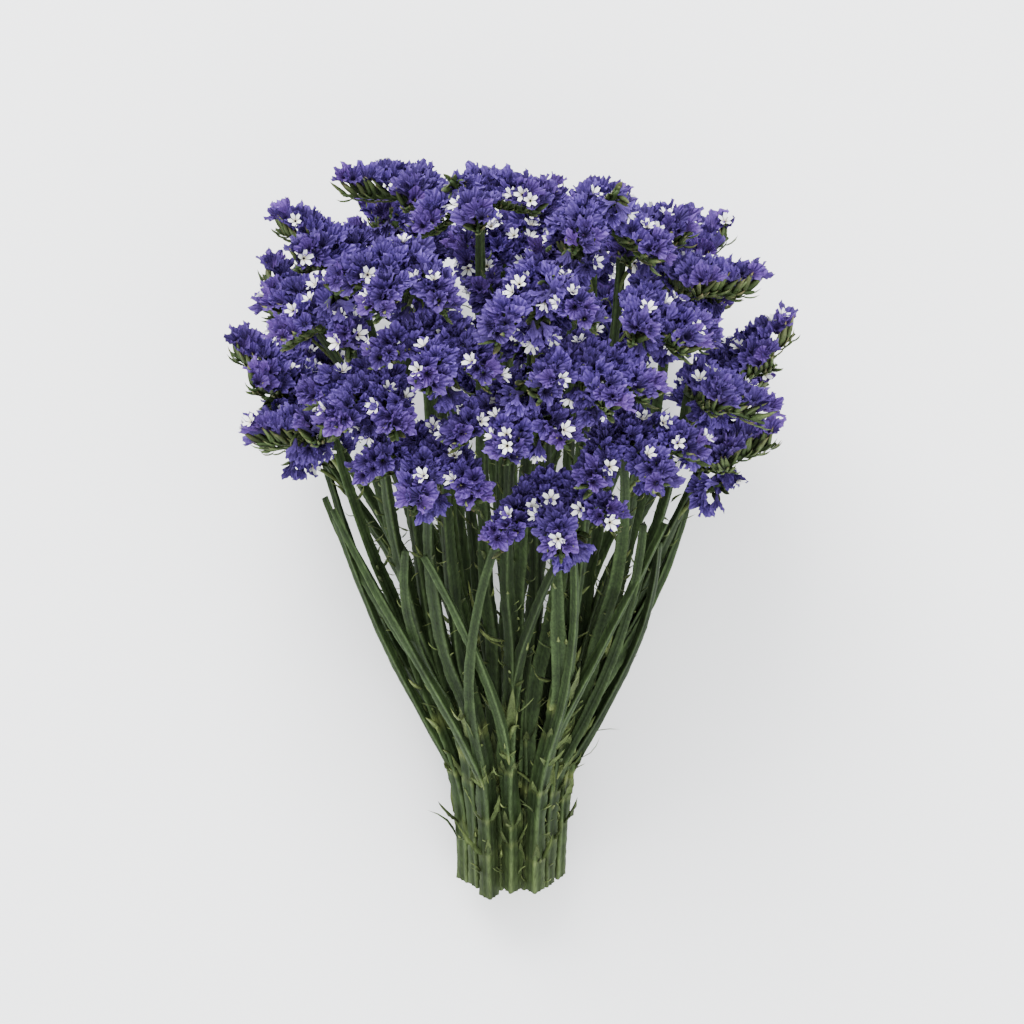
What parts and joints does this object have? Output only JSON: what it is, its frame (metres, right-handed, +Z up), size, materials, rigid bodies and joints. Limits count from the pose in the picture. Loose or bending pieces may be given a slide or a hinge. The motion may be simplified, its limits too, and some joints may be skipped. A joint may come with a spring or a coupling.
{
  "type": "flower bunch",
  "caption": "Lying bunch of statice: winged green stems that fork and fan out to a dome of violet one-sided flower spikes with green bracts beneath.",
  "frame": {"origin": "centre of the bounding box in X and Y, on the surface that the bunch lies on (Z = 0)", "axes": "+Y from the cut ends to the flower heads, +Z up from the surface, +X to the right of the bunch seen from above with the heads at the top; the front of the bunch faces +Z"},
  "size_m": [0.2786, 0.3793, 0.2911],
  "materials": {
    "stem": "matt plant green",
    "calyx": "matt papery violet",
    "bract": "matt leaf green",
    "corolla": "matt white"
  },
  "bodies": {
    "root": {"stem_01": "stem", "stem_02": "stem", "stem_03": "stem", "stem_04": "stem", "stem_05": "stem", "stem_06": "stem", "stem_07": "stem", "stem_08": "stem", "stem_09": "stem", "stem_10": "stem", "stem_11": "stem", "stem_12": "stem", "stem_13": "stem", "stem_14": "stem", "stem_15": "stem", "stem_16": "stem", "stem_17": "stem", "stem_18": "stem", "stem_19": "stem", "head_01": "calyx", "head_02": "calyx", "head_03": "calyx", "head_04": "calyx", "head_05": "calyx", "head_06": "calyx", "head_07": "calyx", "head_08": "calyx", "head_09": "calyx", "head_10": "calyx", "head_11": "calyx", "head_12": "calyx", "head_13": "calyx", "head_14": "calyx", "head_15": "calyx", "head_16": "calyx", "head_17": "calyx", "head_18": "calyx", "head_19": "calyx", "head_20": "calyx", "head_21": "calyx", "head_22": "calyx", "head_23": "calyx", "head_24": "calyx", "head_25": "calyx", "head_26": "calyx", "head_27": "calyx", "head_28": "calyx", "head_29": "calyx", "head_30": "calyx", "head_31": "calyx", "head_32": "calyx", "head_33": "calyx", "head_34": "calyx", "head_35": "calyx", "head_36": "calyx", "head_37": "calyx", "head_38": "calyx", "head_39": "calyx", "head_40": "calyx"}
  },
  "joints": []
}
